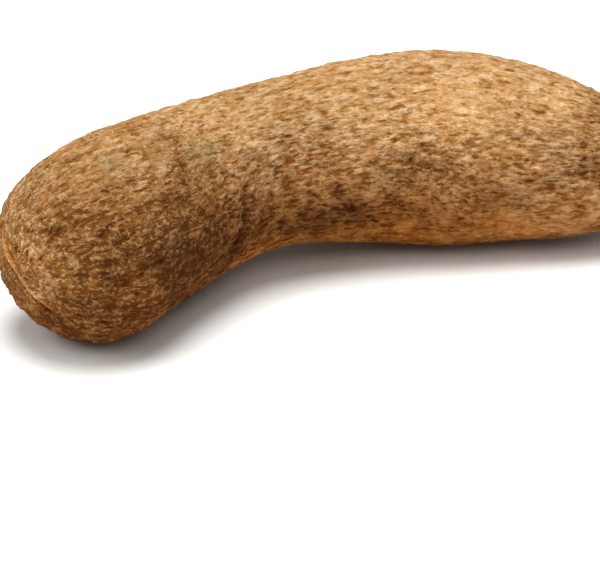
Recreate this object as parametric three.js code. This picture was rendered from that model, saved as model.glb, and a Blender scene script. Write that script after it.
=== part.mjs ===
// A whole puna yam: one long, slightly hooked tuber with a thick bark-like skin,
// lying on a flat surface.
//
// Units are millimetres and +Z is up.  The tuber's long axis runs along +X, with the
// blunt tail end at -X and the thick crown end at +X.  The origin is on the surface
// that the tuber lies on, under the middle of its bounding box.

import * as THREE from 'three';
import { mergeVertices } from 'three/addons/utils/BufferGeometryUtils.js';

// The tuber's sections, from the tail end to the crown end.
// x, y, z: the middle of the section.  width: across, level.  height: upright.
const SECTIONS = [
  { x: -200, y: -41, z: 43, width: 98, height: 96 },
  { x: -168, y: -13, z: 46.5, width: 101, height: 100 },
  { x: -116, y: 22, z: 50, width: 94, height: 98 },
  { x: -60, y: 40, z: 55, width: 88, height: 93 },
  { x: -8, y: 41, z: 55.5, width: 96, height: 104 },
  { x: 44, y: 33, z: 53, width: 104, height: 111 },
  { x: 92, y: 17, z: 50, width: 101, height: 107 },
  { x: 162, y: -21, z: 36, width: 93, height: 105 },
];

// How much of the length each rounded end takes up.
const TAIL_END_LENGTH = 42;
const CROWN_END_LENGTH = 114;

// Gentle swellings and hollows of the skin.
// along: the part of the length at which each lies, from the tail end.  around: degrees
// from the top towards +Y.  reach: how far it spreads.  rise: outwards, or inwards below 0.
const SWELLINGS = [
  { along: 0.16, around: 15, reach: 42, rise: 3 },
  { along: 0.12, around: -150, reach: 26, rise: -2.5 },
  { along: 0.22, around: 80, reach: 34, rise: 2.5 },
  { along: 0.36, around: -105, reach: 17, rise: -3 },
  { along: 0.38, around: 130, reach: 30, rise: -3 },
  { along: 0.47, around: -60, reach: 30, rise: 1.5 },
  { along: 0.52, around: 70, reach: 36, rise: -2 },
  { along: 0.60, around: -120, reach: 24, rise: -2 },
  { along: 0.64, around: 10, reach: 38, rise: 1.5 },
  { along: 0.72, around: 110, reach: 34, rise: 3 },
  { along: 0.78, around: -70, reach: 30, rise: -1.5 },
  { along: 0.86, around: 40, reach: 28, rise: -2 },
  { along: 0.90, around: -120, reach: 26, rise: 2 },
];

// The mesh's fineness.
const FACETS_AROUND = 48;
const FACETS_PER_END = 12;
const FACETS_BETWEEN = 34;

const UP = new THREE.Vector3(0, 0, 1);

// A closed capsule from x = -2 to x = +2 with a radius of 1 and no seams.
function unitCapsule() {
  const capsule = new THREE.CapsuleGeometry(1, 2, FACETS_PER_END, FACETS_AROUND, FACETS_BETWEEN);
  capsule.rotateZ(-Math.PI / 2);
  capsule.deleteAttribute('normal');
  capsule.deleteAttribute('uv');
  return mergeVertices(capsule);
}

// The distance from the tail end at which a point x of the unit capsule lies.
function distanceAlong(x, length) {
  if (x < -1) {
    return TAIL_END_LENGTH * (x + 2);
  }
  if (x > 1) {
    return length - CROWN_END_LENGTH * (2 - x);
  }
  const middleLength = length - TAIL_END_LENGTH - CROWN_END_LENGTH;
  return TAIL_END_LENGTH + middleLength * (x + 1) / 2;
}

// How far the skin rises at a distance along and an angle around, in radians.
function skinRise(distance, angle, radius, length) {
  let rise = 0;
  for (const swelling of SWELLINGS) {
    const turn = angle - THREE.MathUtils.degToRad(swelling.around);
    const across = radius * Math.atan2(Math.sin(turn), Math.cos(turn));
    const away = Math.hypot(distance - swelling.along * length, across) / swelling.reach;
    rise += swelling.rise * Math.exp(-away * away);
  }
  return rise;
}

function tuberGeometry() {
  const geometry = unitCapsule();
  const middleLine = new THREE.CatmullRomCurve3(
    SECTIONS.map(({ x, y, z }) => new THREE.Vector3(x, y, z)),
  );
  const sizes = new THREE.CatmullRomCurve3(
    SECTIONS.map(({ x, width, height }) => new THREE.Vector3(x, width, height)),
  );
  const length = middleLine.getLength();
  const position = geometry.getAttribute('position');

  for (let i = 0; i < position.count; i++) {
    const distance = distanceAlong(position.getX(i), length);
    const t = middleLine.getUtoTmapping(distance / length);
    const tangent = middleLine.getTangent(t);
    const level = new THREE.Vector3().crossVectors(UP, tangent).normalize();
    const upright = new THREE.Vector3().crossVectors(tangent, level);

    const size = sizes.getPoint(t);
    const across = new THREE.Vector3()
      .addScaledVector(level, -position.getZ(i) * size.y / 2)
      .addScaledVector(upright, position.getY(i) * size.z / 2);
    const radius = across.length();
    const angle = Math.atan2(across.dot(level), across.dot(upright));
    const fullness = Math.hypot(position.getY(i), position.getZ(i));
    across.setLength(radius + fullness * skinRise(distance, angle, radius, length));

    const point = middleLine.getPoint(t).add(across);
    position.setXYZ(i, point.x, point.y, Math.max(point.z, 0));
  }

  geometry.computeBoundingBox();
  const middle = geometry.boundingBox.getCenter(new THREE.Vector3());
  geometry.translate(-middle.x, -middle.y, 0);
  return geometry;
}

const barkySkin = new THREE.MeshStandardMaterial({
  color: 0x9a6c3f,
  roughness: 0.9,
  metalness: 0,
});

const tuber = new THREE.Mesh(tuberGeometry(), barkySkin);
tuber.name = 'yam_tuber';

const yam = new THREE.Group();
yam.add(tuber);

export default yam;
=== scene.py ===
"""Puna yam: the whole tuber's rough bark and its studio stage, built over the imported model."""

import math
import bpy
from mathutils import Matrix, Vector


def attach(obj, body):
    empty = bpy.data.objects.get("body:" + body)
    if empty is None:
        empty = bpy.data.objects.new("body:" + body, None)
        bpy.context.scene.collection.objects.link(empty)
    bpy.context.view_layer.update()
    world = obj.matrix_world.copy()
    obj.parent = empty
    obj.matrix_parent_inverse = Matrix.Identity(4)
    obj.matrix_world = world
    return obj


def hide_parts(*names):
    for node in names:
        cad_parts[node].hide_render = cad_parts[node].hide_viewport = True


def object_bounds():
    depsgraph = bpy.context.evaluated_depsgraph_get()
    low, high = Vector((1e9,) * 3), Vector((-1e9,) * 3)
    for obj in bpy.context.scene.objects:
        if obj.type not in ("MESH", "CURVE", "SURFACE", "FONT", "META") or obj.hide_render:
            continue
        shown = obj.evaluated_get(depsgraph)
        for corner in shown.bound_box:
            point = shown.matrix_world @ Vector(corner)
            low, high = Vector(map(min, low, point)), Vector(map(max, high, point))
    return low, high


bl_info = {
    "name": "Puna Yam",
    "version": (1, 0, 0),
    "blender": (4, 5, 0),
    "location": "3D View > Sidebar > Yam",
    "description": "Builds the bark of a whole puna yam and the stage it lies on",
    "category": "Add Mesh",
}

import bpy
import numpy as np
from mathutils import Vector, noise
from mathutils.bvhtree import BVHTree

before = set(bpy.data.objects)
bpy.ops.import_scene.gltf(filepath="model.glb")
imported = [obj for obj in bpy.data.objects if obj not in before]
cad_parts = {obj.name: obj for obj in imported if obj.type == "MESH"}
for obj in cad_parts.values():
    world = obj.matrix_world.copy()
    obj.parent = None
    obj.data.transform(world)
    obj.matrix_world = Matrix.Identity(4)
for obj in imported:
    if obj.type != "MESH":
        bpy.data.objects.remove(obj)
CAD_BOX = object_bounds()
CAD_NODE = "yam_tuber"
MM = 0.001

# Rings run from the tail to the crown. They are twice as far apart as the points round each one,
# because the bark's creases are long and narrow.
RINGS = 238
POINTS_AROUND = 418

# How far in from each end the rings start to fan out and close the end.
TAIL_FAN = 48 * MM
CROWN_FAN = 62 * MM

# The sections that the middle line goes through, the rays that measure each one, how near a corner of
# the model has to be to count for it, and how often the line is centred again.
SECTIONS = 49
SECTION_RAYS = 32
SECTION_REACH = 9 * MM
CENTRING_ROUNDS = 4

# Trial rings and rays, which show where the even rings have to be.
TRIAL_FAN_RINGS = 90
TRIAL_RINGS = 260
TRIAL_RAYS = 16

# How many rings and points the model's facets are softened over.
SOFTEN_RINGS = 2.6
SOFTEN_POINTS = 5.0

# The map that the skin is unrolled on keeps this far inside its square.
MAP_EDGE = 0.004

# The growing tip sits low on the blunt end, and the grain of the bark runs down to it.
TAIL_TIP = Vector((-186, -28, 38)) * MM

# The grain winds round the body by this many radians, most of it within this length of the tail.
GRAIN_TWIST = 0.40
TWIST_LENGTH = 160 * MM

# Distances across the body are shrunk to this, which makes the bark's scales that much wider.
ACROSS_SHARE = 1 / 1.15

# The relief is cut into a skin that stands this far outside the model, so that its middle height
# lies on it.
SKIN_LIFT = 0.8 * MM

# Where the blunt end gives way to the body, along x.
BLUNT_END = (-110 * MM, -20 * MM)

# How deep each mark is cut in, or how high it stands, where it is at its fullest.
PIT_DEPTH = 1.0 * MM
SCAR_EYE_DEPTH = 0.7 * MM
SCAR_RIM_HEIGHT = 0.45 * MM
CHIP_DEPTH = 0.35 * MM
CROWN_FOLD_DEPTH = 3.0 * MM
WAIST_DEPTH = 1.7 * MM
WAIST_SHOULDER_HEIGHT = 0.6 * MM
TAIL_FOLD_DEPTH = 2.3 * MM
TAIL_CREST_HEIGHT = 0.6 * MM

# Smallest and largest radius of the pits, chips and root scars, in millimetres, and the seed that
# scatters each kind.
PIT_RADII = (0.45, 1.15)
CHIP_RADII = (0.8, 1.7)
ROOT_SCAR_RADII = (1.5, 2.6)
PIT_SEED = 5
ROOT_SCAR_SEED = 6
CHIP_SEED = 7

# Pits are pressed in with distances along the grain shrunk to this, which makes them long.
PIT_SQUEEZE = np.array((0.42, 1.0, 1.0))

# Broad differences in the skin's tone, in millimetres: the middle of each patch, its reach along x, y
# and z, and how much paler (above 0) or deeper (below 0) the skin is there. Most patches are the skin's
# own tone, but the deep ones low on the front, from the blunt end to the middle, are painted shade.
TONES_AND_SHADE = (
    ((61, -15, 94), (40, 24, 18), 0.32), ((120, -15, 88), (40, 40, 24), 0.24),
    ((182, -30, 70), (36, 44, 40), -0.54), ((50, -26, 30), (36, 24, 16), -0.22),
    ((-138, -20, 98), (34, 24, 14), -0.08), ((-28, -14, 74), (26, 22, 10), -0.10),
    ((-18, -15, 34), (12, 16, 12), -0.24), ((-31, -18, 58), (14, 16, 10), 0.26),
    ((-148, -46, 88), (16, 20, 10), -0.12), ((-95, -45, 70), (20, 18, 13), -0.12),
    ((-124, -14, 103), (24, 22, 10), 0.14), ((137, -36, 80), (24, 22, 15), -0.17),
    ((140, -40, 28), (50, 34, 22), 0.26), ((52, -29, 55), (12, 14, 9), 0.14),
    ((84, -34, 44), (30, 24, 20), -0.16), ((-112, -62, 42), (66, 36, 40), -0.42),
    ((-140, -50, 76), (30, 34, 22), -0.12), ((-66, -28, 36), (36, 26, 24), -0.46),
    ((-4, -14, 36), (34, 22, 17), -0.56), ((43, -26, 65), (25, 20, 12), -0.22),
    ((-90, -34, 84), (22, 26, 12), -0.10), ((-186, -38, 46), (12, 30, 32), 0.54),
    ((-168, -50, 52), (16, 24, 14), 0.20),
)

# Where the tone is even, with faint patches: the brow of the blunt end.
EVEN_BROW = ((-130, -42, 92), (34, 30, 20))

# Places where the bark is rougher (above 0) or calmer (below 0), given in the same way: the flank, the
# brow of the blunt end, the dark hollow low on the front, the rubbed top, the waist and the cracked
# belly.
ROUGH_PLACES = (
    ((122, -46, 60), (36, 24, 18), 0.50), ((-138, -20, 100), (38, 34, 18), -0.16),
    ((-4, -16, 42), (36, 20, 18), 0.70), ((90, -15, 98), (44, 36, 18), -0.20),
    ((-54, -24, 62), (26, 22, 24), 0.26), ((45, -28, 58), (30, 20, 16), 0.36),
)

# A place on the belly where the bark is gritty, given in the same way.
GRITTY_PLACES = (((45, -28, 60), (30, 20, 16), 0.5),)

# Uneven places in the form, given in the same way, with how far each one stands out in millimetres.
SWELLINGS = (
    ((-132, -8, 104), 24, 1.2), ((-42, 8, 98), 26, -1.3), ((52, 20, 108), 16, 1.0),
    ((168, 0, 96), 26, 1.0), ((60, 70, 60), 30, 1.2), ((-90, 30, 50), 26, 1.1),
)

# Knots, the larger hollows in the bark, in millimetres: where each one is, and its radius.
KNOTS = (
    ((-93, -28, 88), 3.0), ((-98, -12, 98), 3.2), ((-165, -55, 75), 2.6), ((68, -29, 76), 2.6),
    ((94, -38, 62), 2.2), ((128, -46, 56), 3.0), ((-5, -19, 57), 2.8), ((-3, -19, 52), 2.4),
    ((3, -18, 43), 3.2), ((-40, 60, 60), 2.8), ((70, 66, 45), 3.2), ((-130, 10, 70), 2.6),
)

# Smooth patches of grey weathered cork, given in the same way.
WEATHERED = (
    ((-78, -19, 88), 9.0), ((-130, -34, 97), 8.0), ((-30, 62, 70), 9.0), ((105, 55, 70), 8.0),
)

# Folds on the rim of the blunt end: the middle of the strong one, which way they run, and which way
# the rim faces there.
FOLD_MIDDLE = Vector((-184.3, -40.5, 46.3)) * MM
FOLD_RUN = Vector((0.30, -0.72, -0.63)).normalized()
FOLD_OUTWARD = Vector((-0.93, -0.36, 0.0)).normalized()

# Each fold in millimetres: how far across, how wide, how strong (0 to 1), and how far down the rim it
# starts and ends.
FOLDS = (
    (0.0, 1.3, 1.0, -20, 24),
    (5.6, 1.0, 0.55, -24, 16),
    (-5.0, 0.8, 0.35, -14, 10),
    (10.5, 0.9, 0.4, -18, 12),
)

# The crease round the front of the waist: its middle, and the direction it lies square to.
WAIST_MIDDLE = Vector((-74, 20, 52)) * MM
WAIST_TILT = Vector((0.96, 0.26, -0.275)).normalized()

# What the bark's material reads from the mesh.
FACTS = ("relief", "marks_and_shade", "cork", "chips", "weathered", "rough", "gritty", "tone", "warmth_and_shade")

# The cork's finer patterns: length along the grain and width across it, in millimetres. Ripples break
# up into threads down to 1 mm wide. Hairlines and clefts are where the noise crosses or drops under a
# level, so the clefts come out as dashes about 4 mm by 1 mm. Real flakes are about half as big as
# these and real grit is under 1 mm, which is too fine to show.
RIPPLE_SIZE = (8.0, 3.6)
HAIRLINE_SIZE = (11.0, 3.4)
CLEFT_SIZE = (6.0, 2.0)
FLAKE_SIZE = (4.0, 2.2)
GRIT_SIZE = (2.9, 2.1)

# Single grains stand 3.2 mm apart and are about 2 mm across. Real ones are half of that.
GRAIN_SPACING = 3.2

# Sizes in millimetres of the slow wander of the grain, of the jolts that knock flakes and grains out
# of line, of the grey and the rust-coloured patches, of the vine scar's grain and of paper pulp.
WANDER_SIZE = 11.0
JOLT_SIZE = 2.6
OLD_PATCH_SIZE = 52.0
YOUNG_PATCH_SIZE = 38.0
SCAR_GRAIN_SIZE = 2.2
PULP_SIZE = 4.0

# How far the wander and the jolts move a pattern, in metres. The rust-coloured patches are moved a
# long way, so that they don't follow the grey ones.
WANDER_REACH = (0.0034, 0.0014, 0.0014)
FLAKE_JOLT = (0.0020, 0.0012, 0.0012)
GRAIN_JOLT = (0.0022, 0.0022, 0.0022)
YOUNG_SHIFT = (3.1, 1.7, 0.4)

# How much of each pattern goes into the bark's height, on the body and on the gritty blunt end.
PATTERN_SHARES = {
    "flakes": (0.24, 0.10),
    "grit": (0.12, 0.52),
    "grains": (0.08, 0.78),
    "ripples": (0.76, 0.33),
}

# How much of the carved relief goes into it, the height that roughness leaves alone, and how far the
# bump stands out from a height of 0 to 1.
RELIEF_SHARE = 0.28
MIDDLE_HEIGHT = 0.46
BUMP_HEIGHT = 1.05 * MM

# Cork's IOR. Its open cells catch most of what a closed surface would reflect, which leaves a third.
CORK_IOR = 1.45
CORK_SPECULAR = 0.16

# What the bark's colour is multiplied by: from deep skin to rubbed skin, where the deep end also
# carries painted shade; from the dry top to the redder, darker underside, which is partly a soil stain
# and partly painted shade; and from open skin to the bottom of a pit or fold, which is painted shade on
# top of the pits' own dark.
TONE_AND_SHADE_TINT = ((0.0, "#978467"), (0.33, "#C4B7A4"), (0.60, "#E2DED8"), (1.0, "#FFFFFF"))
DAMP_AND_SHADE_TINT = ((0.0, "#F7FFFF"), (1.0, "#FFDDA2"))
HOLLOW_SHADE_TINT = ((0.0, "#FFFFFF"), (0.40, "#CFBC9F"), (1.0, "#83603A"))

# The stage in metres: the softboxes' width, the floor's radius, the point that the lights face, and
# where they hang. The sensor is in millimetres.
SOFTBOX_WIDTH = 1.9
FLOOR_RADIUS = 1.6
FLOOR_CORNERS = 96
YAM_MIDDLE = Vector((0, 0, 50)) * MM
OVERHEAD_PLACE = (0.0, 0.0, 3.0)
SIDE_PLACE = (-2.15, 0.0, 2.05)
FRONT_PLACE = (0.25, -1.8, 2.4)
SENSOR_WIDTH = 36


# ---------------------------------------------------------------- colour and settings


def linear(hex_colour):
    """Turns an sRGB hex colour into the linear values that a shader works in."""
    parts = [int(hex_colour[i:i + 2], 16) / 255 for i in (1, 3, 5)]
    return tuple(p / 12.92 if p <= 0.04045 else ((p + 0.055) / 1.055) ** 2.4 for p in parts)


def rgba(colour):
    """A linear colour with full cover, as a shader socket takes it."""
    return (*colour, 1.0)


class YamShape(bpy.types.PropertyGroup):
    """Sizes of the bark's relief."""

    scale_length: bpy.props.FloatProperty(
        name="Bark scale length", description="How long one scale of the bark is, along the grain",
        default=7.6 * MM, min=2 * MM, max=30 * MM, unit="LENGTH")
    scale_width: bpy.props.FloatProperty(
        name="Bark scale width", description="How wide one scale of the bark is, across the grain",
        default=4.6 * MM, min=1 * MM, max=15 * MM, unit="LENGTH")
    scale_depth: bpy.props.FloatProperty(
        name="Bark scale depth", description="How deep the creases between the scales are",
        default=0.85 * MM, min=0, max=3 * MM, unit="LENGTH")
    lump_depth: bpy.props.FloatProperty(
        name="Lump depth", description="How deep the soft hollows between the skin's lumps are",
        default=0.9 * MM, min=0, max=4 * MM, unit="LENGTH")
    knob_depth: bpy.props.FloatProperty(
        name="Knob depth", description="How deep the hollows between the small knobs of cork are",
        default=0.85 * MM, min=0, max=3 * MM, unit="LENGTH")
    pits: bpy.props.IntProperty(
        name="Pits", description="How many small dark pits the skin has",
        default=400, min=0, max=900)
    chips: bpy.props.IntProperty(
        name="Chips", description="How many pale chips there are, where a flake of cork came off",
        default=420, min=0, max=1500)
    root_scars: bpy.props.IntProperty(
        name="Root scars", description="How many small rings feeder roots left as they came away",
        default=46, min=0, max=300)
    vine_scar: bpy.props.FloatProperty(
        name="Vine scar radius", description="Radius of the corky scar where the vine was cut",
        default=11 * MM, min=3 * MM, max=25 * MM, unit="LENGTH")


class YamColours(bpy.types.PropertyGroup):
    """Colours of the bark, all of them dry cork and a little soil; the crease and soil colours also
    serve as painted shade in the creases.
    """

    crease: bpy.props.FloatVectorProperty(
        name="Crease", description="Bottom of the creases, where soil and shade stay",
        subtype="COLOR", size=3, min=0, max=1, default=linear("#8A5C2A"))
    shade: bpy.props.FloatVectorProperty(
        name="Shade", description="Sides of the scales",
        subtype="COLOR", size=3, min=0, max=1, default=linear("#A87C50"))
    bark: bpy.props.FloatVectorProperty(
        name="Bark", description="Most of the skin",
        subtype="COLOR", size=3, min=0, max=1, default=linear("#B68D63"))
    crest: bpy.props.FloatVectorProperty(
        name="Crest", description="Rubbed tops of the scales",
        subtype="COLOR", size=3, min=0, max=1, default=linear("#C9A787"))
    grey: bpy.props.FloatVectorProperty(
        name="Grey patch", description="Old weathered cork, in patches",
        subtype="COLOR", size=3, min=0, max=1, default=linear("#A08A68"))
    rust: bpy.props.FloatVectorProperty(
        name="Rust patch", description="Redder young cork, in patches",
        subtype="COLOR", size=3, min=0, max=1, default=linear("#AF6E38"))
    soil: bpy.props.FloatVectorProperty(
        name="Soil", description="Damp soil left in the creases low down and in the vine scar",
        subtype="COLOR", size=3, min=0, max=1, default=linear("#4B2C12"))
    chip: bpy.props.FloatVectorProperty(
        name="Chip", description="Young cork laid bare where a flake has come off",
        subtype="COLOR", size=3, min=0, max=1, default=linear("#DAB592"))
    scar: bpy.props.FloatVectorProperty(
        name="Vine scar", description="Dried cork where the vine was cut",
        subtype="COLOR", size=3, min=0, max=1, default=linear("#77583A"))


class YamStage(bpy.types.PropertyGroup):
    """The floor, the lights and the camera."""

    floor: bpy.props.FloatVectorProperty(
        name="Floor", description="Matt paper that the yam lies on",
        subtype="COLOR", size=3, min=0, max=1, default=linear("#D6D5D3"))
    air: bpy.props.FloatProperty(
        name="Room light", description="Strength of the even light from the room",
        default=0.30, min=0, max=3)
    overhead: bpy.props.FloatProperty(
        name="Overhead light", description="Power of the big soft light above the yam",
        default=108, min=0, max=2000, subtype="POWER")
    side: bpy.props.FloatProperty(
        name="Side light", description="Power of the soft light at the tail's side",
        default=32.5, min=0, max=2000, subtype="POWER")
    fill: bpy.props.FloatProperty(
        name="Front fill", description="Power of the soft light above the camera's side",
        default=20, min=0, max=2000, subtype="POWER")
    azimuth: bpy.props.FloatProperty(
        name="Camera azimuth", description="Turn of the camera round the yam; 0 looks along +Y",
        default=math.radians(-20), subtype="ANGLE")
    elevation: bpy.props.FloatProperty(
        name="Camera elevation", description="Height of the camera above the floor, as an angle",
        default=math.radians(28), subtype="ANGLE")
    distance: bpy.props.FloatProperty(
        name="Camera distance", description="From the camera to the point it looks at",
        default=0.935, min=0.1, max=20, unit="LENGTH")
    lens: bpy.props.FloatProperty(
        name="Lens", description="Focal length on a 36 mm wide sensor",
        default=102.0, min=10, max=300, unit="CAMERA")
    look_at: bpy.props.FloatVectorProperty(
        name="Look at", description="Point on the floor that the camera looks at",
        subtype="TRANSLATION", size=3, default=(-24.8 * MM, -14.1 * MM, 0.0))


# ---------------------------------------------------------------- the tuber's form


def model_surface():
    """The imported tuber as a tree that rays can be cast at."""
    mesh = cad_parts[CAD_NODE].data
    return BVHTree.FromPolygons([v.co for v in mesh.vertices], [p.vertices for p in mesh.polygons])


def smoothed(values, spread, wrap):
    """Rows of values softened down the first axis by a bell curve that is spread rows wide."""
    reach = max(1, int(3 * spread))
    steps = np.arange(-reach, reach + 1)
    weights = np.exp(-0.5 * (steps / spread) ** 2)
    weights /= weights.sum()
    pad = [(reach, reach)] + [(0, 0)] * (values.ndim - 1)
    padded = np.pad(values, pad, mode="wrap" if wrap else "edge")
    count = values.shape[0]
    return sum(w * padded[i:i + count] for i, w in enumerate(weights))


def cross_frame(tangent):
    """Two directions square to the middle line: level sideways, and up."""
    side = tangent.cross(Vector((0, 0, 1))).normalized()
    return side, side.cross(tangent).normalized()


def section_centre(surface, point, tangent):
    """The middle of where rays in one section of the tuber meet its skin."""
    side, up = cross_frame(Vector(tangent).normalized())
    hits = []
    for k in range(SECTION_RAYS):
        angle = math.tau * k / SECTION_RAYS
        hit = surface.ray_cast(Vector(point), side * math.cos(angle) + up * math.sin(angle))[0]
        if hit is None:
            raise RuntimeError("A section of the model is open; the middle line can't be found")
        hits.append(hit)
    return np.mean(hits, axis=0)


def middle_line(surface):
    """Points down the middle of the tuber, each one the centre of its own section."""
    low, high = CAD_BOX
    xs = np.linspace(low.x + TAIL_FAN, high.x - CROWN_FAN, SECTIONS)
    corners = np.array([v.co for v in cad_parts[CAD_NODE].data.vertices])
    line = []
    for x in xs:
        near = corners[np.abs(corners[:, 0] - x) < SECTION_REACH]
        line.append((x, *((near.min(axis=0) + near.max(axis=0)) / 2)[1:]))
    line = np.array(line)
    for _ in range(CENTRING_ROUNDS):
        line = np.column_stack((line[:, 0], smoothed(line[:, 1:], 1.5, False)))
        tangents = np.gradient(line, axis=0)
        line = np.array([section_centre(surface, p, t) for p, t in zip(line, tangents)])
    return smoothed(line, 1.5, False)


def stations(line, fan_steps, line_steps):
    """Where each ring's rays start and how they lean: a fan at each end, straight rings between."""
    even = np.linspace(0, 1, line_steps)
    at = np.linspace(0, 1, len(line))
    points = np.column_stack([np.interp(even, at, line[:, k]) for k in range(3)])
    points = smoothed(points, 4, False)
    tangents = smoothed(np.gradient(points, axis=0), 6, False)
    tangents /= np.linalg.norm(tangents, axis=1)[:, None]
    quarter = np.arange(fan_steps) / fan_steps * math.pi / 2
    closing = np.arange(1, fan_steps + 1) / fan_steps * math.pi / 2
    leans = np.concatenate((-np.cos(quarter), np.zeros(line_steps), np.sin(closing)))
    row = np.clip(np.arange(len(leans)) - fan_steps, 0, line_steps - 1)
    return points[row], tangents[row], leans


def cast_rings(surface, origins, tangents, leans, around):
    """Distance from each ring's origin to the skin along a number of rays, and the rays."""
    angles = np.arange(around) / around * math.tau
    side = np.cross(tangents, (0, 0, 1))
    side /= np.linalg.norm(side, axis=1)[:, None]
    up = np.cross(side, tangents)
    radial = np.sin(angles)[None, :, None] * side[:, None] - np.cos(angles)[None, :, None] * up[:, None]
    flat = np.sqrt(np.clip(1 - leans ** 2, 0, 1))
    rays = leans[:, None, None] * tangents[:, None] + flat[:, None, None] * radial
    reach = np.zeros(rays.shape[:2])
    for i, origin in enumerate(origins):
        start = Vector(origin)
        for j in range(around):
            distance = surface.ray_cast(start, Vector(rays[i, j]))[3]
            if distance is None:
                raise RuntimeError("A ray missed the model; the bark can't be laid over it")
            reach[i, j] = distance
    return reach, rays


def even_rings(surface, line, rings):
    """Stations picked so that the rings, and the two poles, are evenly spaced over the skin."""
    origins, tangents, leans = stations(line, TRIAL_FAN_RINGS, TRIAL_RINGS)
    reach, rays = cast_rings(surface, origins, tangents, leans, TRIAL_RAYS)
    skin = origins[:, None] + rays * reach[..., None]
    steps = np.linalg.norm(np.diff(skin, axis=0), axis=2).mean(axis=1)
    along = np.concatenate(([0], np.cumsum(steps)))
    wanted = np.linspace(0, along[-1], rings + 2)
    picked = np.interp(wanted, along, np.arange(len(along)))
    index = np.arange(len(along))

    def pick(values):
        return np.column_stack([np.interp(picked, index, column) for column in values.T])

    turned = pick(tangents)
    turned /= np.linalg.norm(turned, axis=1)[:, None]
    lean_angles = np.interp(picked, index, np.arcsin(np.clip(leans, -1, 1)))
    return pick(origins), turned, np.sin(lean_angles), wanted


def smooth_body(surface):
    """The tuber's skin as rings of points with no facets, and how far along it each ring is."""
    line = middle_line(surface)
    origins, tangents, leans, along = even_rings(surface, line, RINGS)
    reach, rays = cast_rings(surface, origins, tangents, leans, POINTS_AROUND)
    reach = smoothed(reach, SOFTEN_RINGS, False)
    reach = smoothed(reach.T, SOFTEN_POINTS, True).T
    reach[0] = reach[0].mean()
    reach[-1] = reach[-1].mean()
    return origins[:, None] + rays * reach[..., None], along


def outward(skin):
    """The direction straight out of the skin at each point of the rings."""
    down_rings = np.gradient(skin, axis=0)
    round_ring = np.roll(skin, -1, axis=1) - np.roll(skin, 1, axis=1)
    normals = np.cross(down_rings, round_ring)
    for pole, next_ring in ((0, 1), (-1, -2)):
        normals[pole] = normals[next_ring].mean(axis=0)
    normals /= np.linalg.norm(normals, axis=2)[..., None]
    centre = skin.mean(axis=(0, 1))
    if ((skin - centre) * normals).sum() < 0:
        normals = -normals
    return normals


# ---------------------------------------------------------------- noise and patches


def soft(points, size, shift=0.0):
    """Soft noise from -1 to 1 with lumps of about this size, a number or one for each axis.

    Each shift gives another noise of the same kind.
    """
    scaled = points / np.asarray(size) + shift
    return np.array([noise.noise(p) for p in scaled.tolist()])


def wander(points, size, shifts):
    """Three soft noises side by side, which can push each point about."""
    return np.column_stack([soft(points, size, shift) for shift in shifts])


def cells(points, size, shift=0.0):
    """Distance to the nearest scale's heart, to the next one's, and a chance for each scale."""
    scaled = points / np.asarray(size) + shift
    nearest, second, chance = [], [], []
    for place in scaled.tolist():
        distances, hearts = noise.voronoi(place)
        nearest.append(distances[0])
        second.append(distances[1])
        heart = hearts[0]
        chance.append(heart[0] * 12.9898 + heart[1] * 78.233 + heart[2] * 37.719)
    chance = np.abs(np.modf(np.sin(np.array(chance)) * 43758.5453)[0])
    return np.array(nearest), np.array(second), chance


def step(low, high, values):
    """Eases from 0 to 1 as the values go from low to high."""
    t = np.clip((values - low) / (high - low), 0, 1)
    return t * t * (3 - 2 * t)


def bell(values):
    """A soft hump: 1 where the values are 0, and near 0 beyond 2."""
    return np.exp(-values ** 2)


def patch(points, middle, reach):
    """How near each point is to the middle of a soft patch, from 0 to 1; sizes in millimetres."""
    away = ((points - np.array(middle) * MM) / (np.array(reach) * MM)) ** 2
    return np.exp(-away.sum(axis=1))


def patches(points, rows):
    """The sum of some soft patches, each one given by its middle, its reach and its strength."""
    return sum(strength * patch(points, middle, reach) for middle, reach, strength in rows)


def near_spots(points, spots, radii, hardness):
    """How near each point is to the nearest spot, from 0 to 1; a hard spot has a sharp edge."""
    near = np.zeros(len(points))
    for spot, radius in zip(spots, radii):
        reached = np.flatnonzero(np.abs(points[:, 0] - spot[0]) < radius * 3)
        far = ((points[reached] - spot) ** 2).sum(axis=1) / radius ** 2
        near[reached] = np.maximum(near[reached], np.exp(-far ** hardness))
    return near


def near_places(points, rows, hardness):
    """The same for spots that are listed with their radii, in millimetres."""
    spots = [np.array(place) * MM for place, _ in rows]
    return near_spots(points, spots, [radius * MM for _, radius in rows], hardness)


def scattered(points, count, seed):
    """Places picked by chance over the skin, always the same ones for a seed."""
    chance = np.random.RandomState(seed)
    rows = chance.randint(6, RINGS - 4, count)
    columns = chance.randint(0, POINTS_AROUND, count)
    return points[rows * POINTS_AROUND + columns], chance


# ---------------------------------------------------------------- the bark's relief


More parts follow.
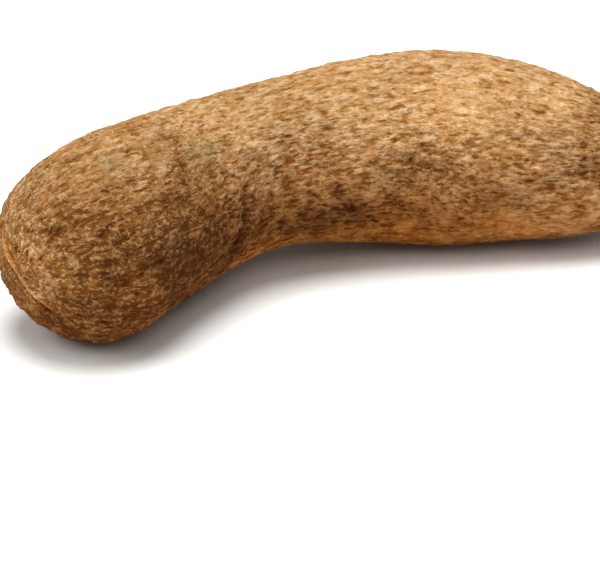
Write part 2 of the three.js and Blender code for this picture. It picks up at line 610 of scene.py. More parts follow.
def grain_places(skin, along):
    """Each point's place in the grain: how far along it, and two distances across it.

    The rings are unrolled so that no angle changes, then rolled up again round the growing tip. The
    grain then runs straight down the body and closes round the tip without a seam.
    """
    around = skin.shape[1]
    middles = skin.mean(axis=1)
    radius = np.linalg.norm(skin - middles[:, None], axis=2).mean(axis=1)
    between = np.maximum((radius[1:] + radius[:-1]) / 2, 0.3 * MM)
    level = np.concatenate(([0], np.cumsum(np.diff(along) / between)))
    twist = GRAIN_TWIST * (1 - np.exp(-along / TWIST_LENGTH))
    angle = np.arange(around) / around * math.tau + twist[:, None]
    from_tip = ((skin - np.array(TAIL_TIP)) ** 2).sum(axis=2)
    tip_row, tip_column = divmod(int(from_tip.argmin()), around)
    flat = np.exp((level - level[tip_row])[:, None] + 1j * angle)
    rolled = flat - np.exp(1j * angle[tip_row, tip_column])
    rolled[tip_row, tip_column] = rolled[tip_row, tip_column - 1]
    reach = radius[:, None] * np.abs(rolled) / np.abs(flat)
    reach[0] = reach[1].mean()

    # The distance along the grain adds up over the skin's mean reach at each height of the roll.
    height = np.log(np.abs(rolled))
    edges = np.linspace(height.min(), height.max(), 120)
    bins = len(edges) - 1
    which = np.clip(np.digitize(height.ravel(), edges) - 1, 0, bins - 1)
    area = np.repeat(np.maximum(radius, 1 * MM), around)
    total = np.bincount(which, area, minlength=bins)
    mean = np.bincount(which, area * reach.ravel(), minlength=bins) / np.maximum(total, 1e-12)
    filled = np.interp(np.arange(bins), np.flatnonzero(total), mean[total > 0])
    distance = np.concatenate(([0], np.cumsum(smoothed(filled, 1.5, False) * np.diff(edges))))
    run = np.interp(height, edges, distance)

    across = np.sqrt(reach * reach.max()) * ACROSS_SHARE
    turn = np.angle(rolled)
    return np.stack((run, across * np.cos(turn), across * np.sin(turn)), axis=2).reshape(-1, 3)


def bark_scales(places, shape):
    """Height of the bark's scales from 0 in a crease to 1 on a crest."""
    slow = wander(places, 12 * MM, (7.1, 19.4, 31.7))
    quick = wander(places, 4.5 * MM, (57.2, 63.8, 71.9))
    bent = places + slow * np.array((5.0, 1.8, 1.8)) * MM + quick * np.array((1.6, 0.9, 0.9)) * MM
    size = np.array((shape.scale_length, shape.scale_width, shape.scale_width))
    first, second, chance = cells(bent, size)
    scales = step(0.0, 0.38, second - first) * (0.35 + 0.65 * chance)
    first, second, chance = cells(bent, size * 0.58, 91.0)
    small_scales = step(0.0, 0.45, second - first) * (0.3 + 0.7 * chance)
    creases = bell(soft(bent, size * (1.9, 1.05, 1.05), 43.0) / 0.09)
    fine = soft(bent, size * 0.46, 3.3)
    height = 0.42 * scales + 0.26 * small_scales + 0.32 * (0.5 + 0.8 * fine) - 0.30 * creases
    return np.clip((height + 0.06) / 0.82, 0, 1)


def skin_tone_and_shade(points):
    """How pale the skin is, from 0 where it is deepest to 1 where it is palest; low on the front this
    includes painted shade.
    """
    x, _, z = points.T
    broken = points + wander(points, 16 * MM, (3.0, 23.0, 47.0)) * 7 * MM
    patchy = 0.4 + 1.0 * (1 - step(50 * MM, 95 * MM, z)) + 0.5 * (1 - step(-165 * MM, -145 * MM, x))
    patchy = patchy + 0.2 * step(20 * MM, 60 * MM, x)
    patchy = patchy * (1 - 0.7 * patch(points, *EVEN_BROW))
    mottle = 0.12 * soft(points, 17 * MM, 77.0) + 0.15 * soft(points, 8.5 * MM, 99.0)
    mottle = mottle + 0.13 * soft(points, 4.2 * MM, 55.0)
    tone = 0.60 + 0.20 * soft(points, 45 * MM, 66.0) + patchy * mottle + patches(broken, TONES_AND_SHADE)
    return np.clip(tone, 0, 1)


def skin_warmth_and_shade(points):
    """How red and dark the skin is, from 0 on its dry top to 1 underneath: partly a damp-soil stain,
    partly painted shade towards the bottom.
    """
    x, _, z = points.T
    low = 1 - step(5 * MM, 100 * MM, z)
    dried = 1 - 0.35 * step(40 * MM, 130 * MM, x)
    sheltered = 1 - 0.32 * (1 - step(*BLUNT_END, x))
    return np.clip(low * dried * sheltered + 0.18 * soft(points, 24 * MM, 88.0), 0, 1)


def skin_roughness(points):
    """How strong the bark is, about 1: more where it is cracked, less where it is rubbed."""
    x, _, z = points.T
    blunt = 1 - step(*BLUNT_END, x)
    low = 1 - step(30 * MM, 90 * MM, z)
    belly = step(20 * MM, 70 * MM, x) * (1 - step(22 * MM, 48 * MM, z))
    crown = step(120 * MM, 156 * MM, x)
    rough = 1.06 + 0.16 * blunt + (0.16 + 0.22 * blunt) * low - 0.16 * belly + 0.28 * crown
    rough = rough + 0.30 * soft(points, 34 * MM, 27.0) + patches(points, ROUGH_PLACES)
    return np.clip(rough, 0.5, 1.95)


def grittiness(points):
    """How far the bark breaks up into round grains, from 0 on the body to 1 on the blunt end."""
    x, _, z = points.T
    blunt = (1 - step(-130 * MM, -20 * MM, x)) * (1 - 0.5 * step(60 * MM, 100 * MM, z))
    return np.clip(blunt + patches(points, GRITTY_PLACES), 0, 1)


def press_pits(points, places, shape):
    """Depth of the pits and knots from 0 to 1. Pits are over twice as long along the grain."""
    torn = wander(places, 2.8 * MM, (4.0, 14.0, 24.0))
    squeezed = places * PIT_SQUEEZE
    spots, chance = scattered(squeezed, shape.pits, PIT_SEED)
    radii = chance.uniform(*PIT_RADII, shape.pits) * MM
    pits = near_spots(squeezed + torn * 0.9 * MM, spots, radii, 1.0)
    knots = near_places(points + torn * 2.2 * MM, KNOTS, 1.3)
    return np.maximum(pits * 0.9, knots * 0.7)


def bare_chips(points, places, shape):
    """Where flakes of cork have come off, from 0 to 1, as ragged spots 1.6 to 3.4 mm across."""
    ragged = points + wander(places, 2.4 * MM, (9.0, 39.0, 69.0)) * 1.6 * MM
    spots, chance = scattered(points, shape.chips, CHIP_SEED)
    return near_spots(ragged, spots, chance.uniform(*CHIP_RADII, shape.chips) * MM, 1.6)


def weathered_patches(points):
    """Where the cork is smooth, grey and weathered, from 0 to 1."""
    return near_places(points + wander(points, 7 * MM, (2.0, 12.0, 22.0)) * 4 * MM, WEATHERED, 1.2)


def raise_scars(points, shape):
    """Rim and eye of each root scar, as two heights from 0 to 1."""
    spots, chance = scattered(points, shape.root_scars, ROOT_SCAR_SEED)
    rim = np.zeros(len(points))
    eye = np.zeros(len(points))
    for spot in spots:
        radius = chance.uniform(*ROOT_SCAR_RADII) * MM
        far = np.sqrt(((points - spot) ** 2).sum(axis=1)) / radius
        rim = np.maximum(rim, bell((far - 1) / 0.33))
        eye = np.maximum(eye, bell(far / 0.55))
    return rim, eye


def crown_end(points, places, tip, shape):
    """How corky the crown is at each point, how deep its folds are, and how high its scar stands.

    Folds gather round the scar. The scar has a torn rim, a sunken ring and the vine's stub in it.
    """
    radius = shape.vine_scar
    away = np.linalg.norm(points - tip, axis=1)
    ragged = away + soft(points, 7 * MM, 11.0) * 3.2 * MM + soft(points, 2.6 * MM, 41.0) * 1.2 * MM
    cork = 1 - step(radius * 0.88, radius * 1.05, ragged)
    turn = np.arctan2(places[:, 2], places[:, 1])
    rays = np.column_stack((np.cos(turn) * 2.6, np.sin(turn) * 2.6, away / (30 * MM)))
    folds = np.abs(soft(rays, 1.0, 5.0))
    gather = step(radius * 0.7, radius * 1.5, away) * (1 - step(18 * MM, 52 * MM, away))
    rim = bell((ragged - radius * 1.05) / (1.9 * MM)) * 1.2 * MM
    ring = bell((ragged - radius * 0.68) / (2.8 * MM)) * 2.3 * MM
    stub = np.exp(-(ragged / (radius * 0.42)) ** 4) * 0.4 * MM
    torn = cork * soft(points, 2.2 * MM, 1.0) * 0.9 * MM
    return cork, folds * gather, rim - ring + stub + torn


def tail_folds(points):
    """Thin folds that run side by side down the rim of the blunt end, and the crests by them."""
    off = points - np.array(FOLD_MIDDLE)
    down = off @ np.array(FOLD_RUN)
    bowed = off @ np.array(FOLD_RUN.cross(FOLD_OUTWARD)) + 1.2 * MM * (down / (30 * MM)) ** 2
    bowed = bowed + soft(points, 13 * MM, 52.0) * 1.0 * MM + soft(points, 4 * MM, 62.0) * 0.6 * MM
    facing = off @ np.array(FOLD_OUTWARD) > -25 * MM
    down = down / MM
    bowed = bowed / MM
    grooves = np.zeros(len(points))
    crests = np.zeros(len(points))
    for place, width, strength, start, end in FOLDS:
        here = step(start - 9, start + 5, down) * (1 - step(end - 9, end + 5, down)) * facing * strength
        grooves = np.maximum(grooves, here * bell((bowed - place) / width))
        crests = np.maximum(crests, here * bell((bowed - place) / width + 1.9))
    return grooves, crests


def waist_crease(points):
    """The shallow crease round the front of the tuber behind its blunt end, and its shoulder."""
    away = (points - np.array(WAIST_MIDDLE)) @ np.array(WAIST_TILT)
    away = away + soft(points, 17 * MM, 2.0) * 3.0 * MM + soft(points, 5 * MM, 6.0) * 1.5 * MM
    front = step(-0.2, 0.55, -(points[:, 1] - WAIST_MIDDLE.y) / (50 * MM))
    front = front * (1 - step(60 * MM, 84 * MM, points[:, 2]))
    front = front * np.clip(0.86 + 0.8 * soft(points, 9 * MM, 36.0), 0, 1)
    return bell(away / (2.1 * MM)) * front, bell((away + 11 * MM) / (8 * MM)) * front


def carve(skin, along, shape):
    """The rings with the bark's relief carved in, and what the bark's material reads of it."""
    rows, around = skin.shape[:2]
    points = skin.reshape(-1, 3)
    places = grain_places(skin, along)
    scales = bark_scales(places, shape)
    pits = press_pits(points, places, shape)
    chips = bare_chips(points, places, shape)
    weathered = weathered_patches(points)
    rim, eye = raise_scars(points, shape)
    cork, folds, scar = crown_end(points, places, points[-1], shape)
    groove, shoulder = waist_crease(points)
    grooves, crests = tail_folds(points)
    gritty = grittiness(points)
    rough = skin_roughness(points) * (1 - 0.5 * np.maximum(grooves, crests))
    # The crests beside the tail folds take a little of the chips' pale colour, a painted highlight
    # along each crest.
    chips = np.maximum(chips, 0.3 * crests)

    # The scales are finer where the bark is gritty, and faint on dead or weathered cork.
    calm = (1 - 0.35 * gritty) * (1 - 0.75 * np.maximum(cork, weathered))
    lumps = 0.5 + 0.5 * (soft(points, 27 * MM, 8.0) + 0.75 * soft(points, 10 * MM, 15.0))
    knobs = 0.5 + 0.9 * soft(points, 5.2 * MM, 33.0)
    depth = (1 - scales) * shape.scale_depth * rough * calm
    depth += np.clip(1 - lumps, 0, 1.2) * shape.lump_depth
    depth += np.clip(1 - knobs, 0, 1) * shape.knob_depth * rough
    depth += pits * PIT_DEPTH + eye * SCAR_EYE_DEPTH - rim * SCAR_RIM_HEIGHT - chips * CHIP_DEPTH
    depth += folds * CROWN_FOLD_DEPTH + groove * WAIST_DEPTH - shoulder * WAIST_SHOULDER_HEIGHT
    depth += grooves * TAIL_FOLD_DEPTH - crests * TAIL_CREST_HEIGHT - scar

    rise = SKIN_LIFT + patches(points, SWELLINGS) * MM - depth
    carved = points + outward(skin).reshape(-1, 3) * rise[:, None]
    carved[:, 2] = np.maximum(carved[:, 2], 0)
    carved = carved.reshape(rows, around, 3)
    for pole in (0, -1):
        carved[pole] = carved[pole].mean(axis=0)
    # Pits, root-scar eyes, the waist crease and the tail folds, for the colour: the pits and eyes are
    # dark of their own, and the shade in all of them is painted.
    marks_and_shade = np.clip(pits * 0.80 + eye * 0.7 + groove * 0.56 + grooves * 0.60, 0, 1)
    tone, warmth_and_shade = skin_tone_and_shade(points), skin_warmth_and_shade(points)
    facts = (scales, marks_and_shade, cork, chips, weathered, rough, gritty, tone, warmth_and_shade)
    return carved, {"grain": places, **dict(zip(FACTS, facts))}


# ---------------------------------------------------------------- the mesh


def ring_faces(rows, around):
    """Faces that join the rings: a fan of triangles at each pole and squares between."""
    here = np.arange(around)
    there = (here + 1) % around
    last_ring = 1 + (rows - 3) * around
    crown = np.full(around, last_ring + around)
    tail_fan = np.column_stack((np.zeros(around, int), 1 + there, 1 + here))
    crown_fan = np.column_stack((crown, last_ring + here, last_ring + there))
    near = 1 + (np.arange(rows - 3) * around)[:, None]
    far = near + around
    band = np.stack((near + here, near + there, far + there, far + here), axis=2)
    return tail_fan.tolist() + band.reshape(-1, 4).tolist() + crown_fan.tolist()


def ring_map(along, around):
    """The map of each face's corners, in the order of the faces: the skin unrolled flat."""
    room = 1 - 2 * MAP_EDGE
    across = MAP_EDGE + room * np.arange(around + 1) / around
    level = MAP_EDGE + room * along / along[-1]
    left, right = across[:-1], across[1:]
    half = (left + right) / 2
    ends = [np.full(around, level[k]) for k in (0, 1, -1, -2)]
    tail_fan = np.stack((half, ends[0], right, ends[1], left, ends[1]), axis=1)
    crown_fan = np.stack((half, ends[2], left, ends[3], right, ends[3]), axis=1)
    shape = (len(level) - 3, around)
    left, right, near, far = (np.broadcast_to(values, shape) for values in
                              (left, right, level[1:-2, None], level[2:-1, None]))
    band = np.stack((left, near, right, near, right, far, left, far), axis=2)
    return np.concatenate((tail_fan.ravel(), band.ravel(), crown_fan.ravel()))


def ring_mesh(name, carved, along, facts):
    """One closed mesh from the rings, with its map and the facts that its material reads."""
    rows, around = carved.shape[:2]

    def on_vertices(values):
        grid = values.reshape(rows, around, -1)
        inner = grid[1:-1].reshape(-1, grid.shape[2])
        return np.concatenate((grid[:1, 0], inner, grid[-1:, 0]))

    verts = on_vertices(carved)
    mesh = bpy.data.meshes.new(name)
    mesh.from_pydata(verts.tolist(), [], ring_faces(rows, around))
    layer = mesh.uv_layers.new(name="OFBake")
    layer.data.foreach_set("uv", ring_map(along, around).astype(np.float32))
    for fact, values in facts.items():
        listed = on_vertices(values)
        vector = listed.shape[1] == 3
        kept = mesh.attributes.new(fact, "FLOAT_VECTOR" if vector else "FLOAT", "POINT")
        kept.data.foreach_set("vector" if vector else "value", listed.ravel().astype(np.float32))
    mesh.polygons.foreach_set("use_smooth", [True] * len(mesh.polygons))
    mesh.validate()
    mesh.update()
    face = mesh.polygons[around * (rows // 2)]
    if np.array(face.normal) @ (np.array(face.center) - verts.mean(axis=0)) < 0:
        mesh.flip_normals()
    return mesh


# ---------------------------------------------------------------- materials

# A colour Mix node's sockets: how much of the upper colour shows, the lower colour and the upper one.
SHARE = 0
UNDER = 6
OVER = 7


def add_node(tree, kind, inputs=None, ramp=(), **settings):
    """Adds one node. An input takes a value, a socket, or a node for its first output in use.

    A ramp is (place, colour) pairs in order. A new ramp has two stops, which become the outer ones.
    """
    made = tree.nodes.new(kind)
    for name, value in settings.items():
        setattr(made, name, value)
    for socket, value in (inputs or {}).items():
        if isinstance(value, bpy.types.Node):
            value = next(output for output in value.outputs if output.enabled)
        if isinstance(value, bpy.types.NodeSocket):
            tree.links.new(value, made.inputs[socket])
        else:
            made.inputs[socket].default_value = value
    for k, (place, colour) in enumerate((*ramp[:1], *ramp[-1:], *ramp[1:-1])):
        stops = made.color_ramp.elements
        stop = stops[k] if k < 2 else stops.new(place)
        stop.position = place
        stop.color = colour
    return made


def hex_ramp(rows):
    """A ramp's stops from places and sRGB hex colours."""
    return [(place, rgba(linear(colour))) for place, colour in rows]


def per_size(length, width):
    """What a place is multiplied by for a pattern of this length and width in millimetres."""
    return 1 / (length * MM), 1 / (width * MM), 1 / (width * MM)


def cork_patterns(tree, place):
    """The cork's finer patterns, each one a height that is 0 or above, or below 0 for a crease."""
    grain = add_node(tree, "ShaderNodeAttribute", attribute_name="grain").outputs["Vector"]

    # Everything that lies along the grain is bent by a slow wander.
    slow = add_node(tree, "ShaderNodeTexNoise",
                    {"Vector": place, "Scale": 1 / (WANDER_SIZE * MM), "Detail": 2.0})
    shifted = add_node(tree, "ShaderNodeVectorMath",
                       {0: slow.outputs["Color"], 1: WANDER_REACH}, operation="MULTIPLY")
    bent = add_node(tree, "ShaderNodeVectorMath", {0: grain, 1: shifted}, operation="ADD")

    # Flakes, grit and grains are knocked out of line as well.
    jolt = add_node(tree, "ShaderNodeTexNoise",
                    {"Vector": place, "Scale": 1 / (JOLT_SIZE * MM), "Detail": 0.0})
    loose = add_node(tree, "ShaderNodeVectorMath",
                     {0: jolt.outputs["Color"], 1: FLAKE_JOLT, 2: bent}, operation="MULTIPLY_ADD")
    jolted = add_node(tree, "ShaderNodeVectorMath",
                      {0: jolt.outputs["Color"], 1: GRAIN_JOLT, 2: place}, operation="MULTIPLY_ADD")

    # Ripples, hairlines, clefts and grit are soft noises drawn out along the grain.
    noises = {}
    for name, at, size, detail, breakup in (
            ("ripples", bent, RIPPLE_SIZE, 3.0, 0.78), ("hairlines", bent, HAIRLINE_SIZE, 1.0, 0.5),
            ("clefts", bent, CLEFT_SIZE, 1.5, 0.5), ("grit", loose, GRIT_SIZE, 2.5, 0.65)):
        drawn_out = add_node(tree, "ShaderNodeVectorMath", {0: at, 1: per_size(*size)},
                             operation="MULTIPLY")
        noises[name] = add_node(tree, "ShaderNodeTexNoise",
                                {"Vector": drawn_out, "Scale": 1.0, "Detail": detail,
                                 "Roughness": breakup})

    # Hairline creases lie where their noise crosses its middle.
    from_line = add_node(tree, "ShaderNodeMath", {0: noises["hairlines"], 1: 0.5}, operation="SUBTRACT")
    off_line = add_node(tree, "ShaderNodeMath", {0: from_line}, operation="ABSOLUTE")
    made = {}
    for name, value, low, high, bottom, top, ease in (
            ("ripples", noises["ripples"], 0.26, 0.74, 0.0, 1.0, "LINEAR"),
            ("hairlines", off_line, 0.0, 0.05, -0.12, 0.0, "SMOOTHSTEP"),
            ("clefts", noises["clefts"], 0.28, 0.47, -0.30, 0.0, "SMOOTHSTEP"),
            ("grit", noises["grit"], 0.44, 0.68, 0.0, 1.0, "SMOOTHSTEP")):
        made[name] = add_node(tree, "ShaderNodeMapRange",
                              {"Value": value, "From Min": low, "From Max": high,
                               "To Min": bottom, "To Max": top}, interpolation_type=ease)

    # Flakes and grains are small domes, each one as high as its own chance makes it.
    flakes_at = add_node(tree, "ShaderNodeVectorMath", {0: loose, 1: per_size(*FLAKE_SIZE)},
                         operation="MULTIPLY")
    for name, at, scale, edge, chance in (
            ("flakes", flakes_at, 1.0, 0.64, {"To Min": 0.10}),
            ("grains", jolted, 1 / (GRAIN_SPACING * MM), 0.42, {"From Min": 0.35, "From Max": 0.75})):
        cell = add_node(tree, "ShaderNodeTexVoronoi",
                        {"Vector": at, "Scale": scale, "Randomness": 1.0}, feature="F1")
        dome = add_node(tree, "ShaderNodeMapRange",
                        {"Value": cell, "From Min": 0.10, "From Max": edge,
                         "To Min": 1.0, "To Max": 0.0}, interpolation_type="SMOOTHSTEP")
        luck = add_node(tree, "ShaderNodeSeparateXYZ", {"Vector": cell.outputs["Color"]})
        rise = add_node(tree, "ShaderNodeMapRange", {"Value": luck, **chance})
        made[name] = add_node(tree, "ShaderNodeMath", {0: dome, 1: rise}, operation="MULTIPLY")
    return made


def bark_height(tree, facts, patterns):
    """One height for both colour and bump, built up from the relief and the finer patterns.

    Grains and grit take over from flakes and ripples where the bark is gritty, rubbed skin has fewer
    flakes and fainter clefts, and all of it is stronger where the bark is rough.
    """
    rubbed = add_node(tree, "ShaderNodeMapRange",
                      {"Value": facts["tone"], "From Min": 0.50, "From Max": 0.95})
    cleft_share = add_node(tree, "ShaderNodeMapRange",
                           {"Value": rubbed, "To Min": 0.9, "To Max": 0.8})
    creased = add_node(tree, "ShaderNodeMath",
                       {0: patterns["clefts"], 1: cleft_share, 2: patterns["hairlines"]},
                       operation="MULTIPLY_ADD")
    height = add_node(tree, "ShaderNodeMath", {0: facts["relief"], 1: RELIEF_SHARE, 2: creased},
                      operation="MULTIPLY_ADD")
    unworn = add_node(tree, "ShaderNodeMapRange", {"Value": rubbed, "To Min": 1.0, "To Max": 0.6})
    kept_flakes = add_node(tree, "ShaderNodeMath", {0: patterns["flakes"], 1: unworn},
                           operation="MULTIPLY")
    for name, (on_body, on_blunt_end) in PATTERN_SHARES.items():
        share = add_node(tree, "ShaderNodeMapRange",
                         {"Value": facts["gritty"], "To Min": on_body, "To Max": on_blunt_end})
        pattern = kept_flakes if name == "flakes" else patterns[name]
        height = add_node(tree, "ShaderNodeMath", {0: pattern, 1: share, 2: height},
                          operation="MULTIPLY_ADD")
    off_middle = add_node(tree, "ShaderNodeMath", {0: height, 1: MIDDLE_HEIGHT}, operation="SUBTRACT")
    return add_node(tree, "ShaderNodeMath", {0: off_middle, 1: facts["rough"], 2: MIDDLE_HEIGHT},
                    operation="MULTIPLY_ADD")


def cork_colour(tree, colours, facts, place, height):
    """Colour of the dry cork by its height, darker in the creases partly as painted shade, with chips,
    grey weathered patches and rusty young ones.
    """
    bark = add_node(tree, "ShaderNodeValToRGB", {"Fac": height}, ramp=(
        (0.16, rgba(colours.crease)), (0.36, rgba(colours.shade)),
        (0.56, rgba(colours.bark)), (0.80, rgba(colours.crest))))
    chipped = add_node(tree, "ShaderNodeMath", {0: facts["chips"], 1: 0.75}, operation="MULTIPLY")
    chipped_bark = add_node(tree, "ShaderNodeMix",
                            {SHARE: chipped, UNDER: bark, OVER: rgba(colours.chip)},
                            data_type="RGBA")

    old = add_node(tree, "ShaderNodeTexNoise",
                   {"Vector": place, "Scale": 1 / (OLD_PATCH_SIZE * MM), "Detail": 3.0,
                    "Roughness": 0.6})
    old_level = add_node(tree, "ShaderNodeMapRange",
                         {"Value": old, "From Min": 0.52, "From Max": 0.72, "To Max": 0.28})
    grey_cover = add_node(tree, "ShaderNodeMath", {0: old_level, 1: facts["weathered"]},
                          operation="MAXIMUM")
    grey_bark = add_node(tree, "ShaderNodeMix",
                         {SHARE: 0.62, UNDER: chipped_bark, OVER: rgba(colours.grey)},
                         data_type="RGBA")
    greyed = add_node(tree, "ShaderNodeMix", {SHARE: grey_cover, UNDER: chipped_bark, OVER: grey_bark},
                      data_type="RGBA")

    young_at = add_node(tree, "ShaderNodeVectorMath", {0: place, 1: YOUNG_SHIFT}, operation="ADD")
    young = add_node(tree, "ShaderNodeTexNoise",
                     {"Vector": young_at, "Scale": 1 / (YOUNG_PATCH_SIZE * MM), "Detail": 1.0,
                      "Roughness": 0.6})
    young_level = add_node(tree, "ShaderNodeMapRange",
                           {"Value": young, "From Min": 0.50, "From Max": 0.74, "To Max": 0.45})
    rust_bark = add_node(tree, "ShaderNodeMix", {SHARE: 0.55, UNDER: bark, OVER: rgba(colours.rust)},
                         data_type="RGBA")
    return add_node(tree, "ShaderNodeMix", {SHARE: young_level, UNDER: greyed, OVER: rust_bark},
                    data_type="RGBA")


def skin_colour(tree, colours, facts, place, height):
    """The cork's colour as it is on the tuber: rubbed or deep, dry or damp, soiled and pitted, with
    painted shade low down, underneath and in the creases, pits and folds.
    """
    skin = cork_colour(tree, colours, facts, place, height)
    for fact, rows in (("tone", TONE_AND_SHADE_TINT), ("warmth_and_shade", DAMP_AND_SHADE_TINT)):
        tint = add_node(tree, "ShaderNodeValToRGB", {"Fac": facts[fact]}, ramp=hex_ramp(rows))
        skin = add_node(tree, "ShaderNodeMix", {SHARE: 1.0, UNDER: skin, OVER: tint},
                        data_type="RGBA", blend_type="MULTIPLY")

    # Soil is left in every crease of the bark where the skin is deep, and there the soil colour also
    # stands for painted shade in the creases.
    low_down = add_node(tree, "ShaderNodeMapRange",
                        {"Value": facts["tone"], "From Min": 0.10, "From Max": 0.62,
                         "To Min": 0.62, "To Max": 0.0})
    deep_down = add_node(tree, "ShaderNodeMapRange",
                         {"Value": height, "From Min": 0.16, "From Max": 0.64,
                          "To Min": 1.0, "To Max": 0.0})
    creases_soiled_and_shaded = add_node(tree, "ShaderNodeMath", {0: low_down, 1: deep_down},
                              operation="MULTIPLY")
    soiled_and_shaded = add_node(tree, "ShaderNodeMix",
                      {SHARE: creases_soiled_and_shaded, UNDER: skin, OVER: rgba(colours.soil)},
                      data_type="RGBA")

    # Painted shade: pits, scar eyes and folds are darkened and made richer in colour, standing in for
    # the shade in them; the pits and scar eyes are also dark of their own.
    hollow_shade_ramp = add_node(tree, "ShaderNodeValToRGB", {"Fac": facts["marks_and_shade"]}, ramp=hex_ramp(HOLLOW_SHADE_TINT))
    hollow_shaded = add_node(tree, "ShaderNodeMix", {SHARE: 1.0, UNDER: soiled_and_shaded, OVER: hollow_shade_ramp},
                        data_type="RGBA", blend_type="MULTIPLY")

    # The vine scar is dead cork.
    scar_grain = add_node(tree, "ShaderNodeTexNoise",
                          {"Vector": place, "Scale": 1 / (SCAR_GRAIN_SIZE * MM), "Detail": 4.0})
    scar = add_node(tree, "ShaderNodeValToRGB", {"Fac": scar_grain}, ramp=(
        (0.34, rgba(colours.soil)), (0.50, rgba(colours.scar)), (0.72, rgba(colours.grey))))
    return add_node(tree, "ShaderNodeMix", {SHARE: facts["cork"], UNDER: hollow_shaded, OVER: scar},
                    data_type="RGBA")


def dry_yam_bark(colours):
    """Dried cork bark of a dug and air-dried tuber.

    Cork scales dry pale on their rubbed tops and stay dark in the creases, and the whole skin is dead
    matt, a little less so on the tops. Shade in the creases, in the pits and folds, low on the front
    and underneath is painted into the colour as well.
    """
    material = bpy.data.materials.new("dry_yam_bark")
    material.use_nodes = True
    tree = material.node_tree
    tree.nodes.clear()
    facts = {name: add_node(tree, "ShaderNodeAttribute", attribute_name=name).outputs["Fac"]
             for name in FACTS}
    place = add_node(tree, "ShaderNodeTexCoord").outputs["Object"]
    height = bark_height(tree, facts, cork_patterns(tree, place))
    roughness = add_node(tree, "ShaderNodeMapRange",
                         {"Value": height, "From Min": 0.2, "From Max": 0.8,
                          "To Min": 0.98, "To Max": 0.84})
    bump = add_node(tree, "ShaderNodeBump",
                    {"Height": height, "Strength": 1.0, "Distance": BUMP_HEIGHT})
    shader = add_node(tree, "ShaderNodeBsdfPrincipled",
                      {"Base Color": skin_colour(tree, colours, facts, place, height),
                       "Roughness": roughness, "Normal": bump,
                       "IOR": CORK_IOR, "Specular IOR Level": CORK_SPECULAR})
    add_node(tree, "ShaderNodeOutputMaterial", {"Surface": shader})
    return material


def matt_studio_paper(colour):
    """Seamless background paper, uncoated: dead matt, with a very faint pulp mottle."""
    material = bpy.data.materials.new("matt_studio_paper")
    material.use_nodes = True
    tree = material.node_tree
    tree.nodes.clear()
    place = add_node(tree, "ShaderNodeTexCoord").outputs["Object"]
    pulp = add_node(tree, "ShaderNodeTexNoise",
                    {"Vector": place, "Scale": 1 / (PULP_SIZE * MM), "Detail": 3.0})
    darker = tuple(c * 0.985 for c in colour)
    tone = add_node(tree, "ShaderNodeValToRGB", {"Fac": pulp}, ramp=(
        (0.3, rgba(darker)), (0.7, rgba(colour))))
    shader = add_node(tree, "ShaderNodeBsdfPrincipled",
                      {"Base Color": tone, "Roughness": 0.95, "IOR": 1.45,
                       "Specular IOR Level": 0.1})
    add_node(tree, "ShaderNodeOutputMaterial", {"Surface": shader})
    return material


def white_walled_room(air):
    """Even light from a room whose walls are white low down, round the floor, and dimmer above."""
    world = bpy.data.worlds.new("white_walled_room")
    world.use_nodes = True
    tree = world.node_tree
    tree.nodes.clear()
    towards = add_node(tree, "ShaderNodeTexCoord").outputs["Generated"]
    parts = add_node(tree, "ShaderNodeSeparateXYZ", {"Vector": towards})
    off_level = add_node(tree, "ShaderNodeMath", {0: parts.outputs["Z"]}, operation="ABSOLUTE")
    wall = add_node(tree, "ShaderNodeMapRange",
                    {"Value": off_level, "From Min": 0.14, "From Max": 0.42,
                     "To Min": 1.0, "To Max": air}, interpolation_type="SMOOTHSTEP")
    light = add_node(tree, "ShaderNodeBackground", {"Strength": wall})
    add_node(tree, "ShaderNodeOutputWorld", {"Surface": light})
    return world


# ---------------------------------------------------------------- operators


class PUNAYAM_OT_skin(bpy.types.Operator):
    """Build the yam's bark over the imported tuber"""

    bl_idname = "puna_yam.skin"
    bl_label = "Yam Skin"

    def execute(self, context):
        skin, along = smooth_body(model_surface())
        carved, facts = carve(skin, along, context.scene.yam_shape)
        mesh = ring_mesh("yam_skin", carved, along, facts)
        piece = bpy.data.objects.new("yam_skin", mesh)
        context.scene.collection.objects.link(piece)
        mesh.materials.append(dry_yam_bark(context.scene.yam_colours))
        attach(piece, "root")
        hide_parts(CAD_NODE)
        return {"FINISHED"}


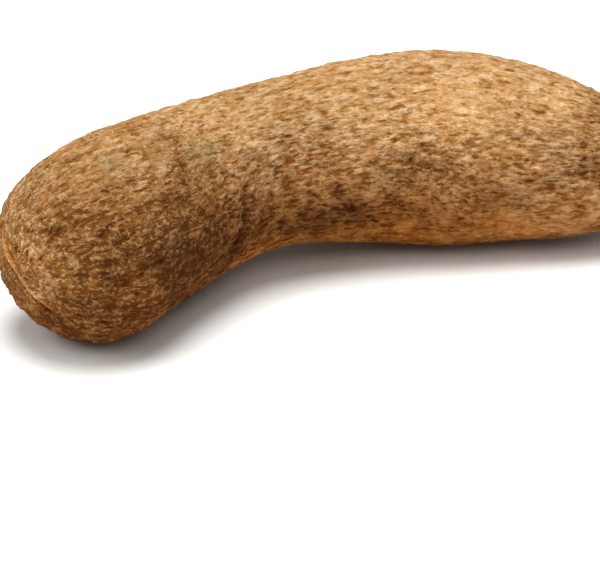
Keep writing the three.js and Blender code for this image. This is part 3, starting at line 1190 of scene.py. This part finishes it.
class PUNAYAM_OT_stage(bpy.types.Operator):
    """Lay the pale floor, hang the soft lights and set the camera"""

    bl_idname = "puna_yam.stage"
    bl_label = "Stage"

    def execute(self, context):
        scene = context.scene
        stage = scene.yam_stage
        scene.view_settings.view_transform = "Standard"
        scene.view_settings.look = "Medium High Contrast"
        self.floor(scene, stage)
        self.light(scene, "overhead_softbox", OVERHEAD_PLACE, stage.overhead)
        self.light(scene, "side_softbox", SIDE_PLACE, stage.side)
        self.light(scene, "front_softbox", FRONT_PLACE, stage.fill)
        scene.world = white_walled_room(stage.air)
        self.camera(scene, stage)
        return {"FINISHED"}

    def floor(self, scene, stage):
        """A round sheet of paper under the yam."""
        angles = [math.tau * k / FLOOR_CORNERS for k in range(FLOOR_CORNERS)]
        rim = [(FLOOR_RADIUS * math.cos(a), FLOOR_RADIUS * math.sin(a), 0) for a in angles]
        mesh = bpy.data.meshes.new("paper_floor")
        mesh.from_pydata(rim, [], [tuple(range(FLOOR_CORNERS))])
        mesh.materials.append(matt_studio_paper(stage.floor))
        floor = bpy.data.objects.new("paper_floor", mesh)
        scene.collection.objects.link(floor)

    def light(self, scene, name, place, power):
        """A big round softbox that points at the yam."""
        lamp = bpy.data.lights.new(name, "AREA")
        lamp.shape = "DISK"
        lamp.size = SOFTBOX_WIDTH
        lamp.energy = power
        holder = bpy.data.objects.new(name, lamp)
        holder.location = place
        towards = YAM_MIDDLE - Vector(place)
        holder.rotation_euler = towards.to_track_quat("-Z", "Y").to_euler()
        scene.collection.objects.link(holder)

    def camera(self, scene, stage):
        """A camera that looks at a point on the floor from the set angle and distance."""
        lens = bpy.data.cameras.new("camera")
        lens.sensor_width = SENSOR_WIDTH
        lens.lens = stage.lens
        lens.clip_start = 0.05
        lens.clip_end = 20
        camera = bpy.data.objects.new("camera", lens)
        turn, rise = stage.azimuth, stage.elevation
        level = math.cos(rise)
        back = Vector((math.sin(turn) * level, -math.cos(turn) * level, math.sin(rise)))
        camera.location = Vector(stage.look_at) + back * stage.distance
        camera.rotation_euler = (-back).to_track_quat("-Z", "Y").to_euler()
        scene.collection.objects.link(camera)
        scene.camera = camera


class PUNAYAM_PT_sidebar(bpy.types.Panel):
    """Lists what can be built, with its sizes and colours"""

    bl_idname = "PUNAYAM_PT_sidebar"
    bl_label = "Puna Yam"
    bl_space_type = "VIEW_3D"
    bl_region_type = "UI"
    bl_category = "Yam"

    def draw(self, context):
        for operator, settings in ((PUNAYAM_OT_skin, ("yam_shape", "yam_colours")),
                                   (PUNAYAM_OT_stage, ("yam_stage",))):
            box = self.layout.box()
            box.operator(operator.bl_idname)
            for group_name in settings:
                group = getattr(context.scene, group_name)
                for name in group.__annotations__:
                    box.prop(group, name)


CLASSES = (YamShape, YamColours, YamStage, PUNAYAM_OT_skin, PUNAYAM_OT_stage, PUNAYAM_PT_sidebar)


def register():
    for kind in CLASSES:
        bpy.utils.register_class(kind)
    bpy.types.Scene.yam_shape = bpy.props.PointerProperty(type=YamShape)
    bpy.types.Scene.yam_colours = bpy.props.PointerProperty(type=YamColours)
    bpy.types.Scene.yam_stage = bpy.props.PointerProperty(type=YamStage)


def unregister():
    del bpy.types.Scene.yam_stage
    del bpy.types.Scene.yam_colours
    del bpy.types.Scene.yam_shape
    for kind in reversed(CLASSES):
        bpy.utils.unregister_class(kind)


def main():
    register()
    bpy.ops.puna_yam.skin()
    bpy.ops.puna_yam.stage()


if __name__ == "__main__":
    main()
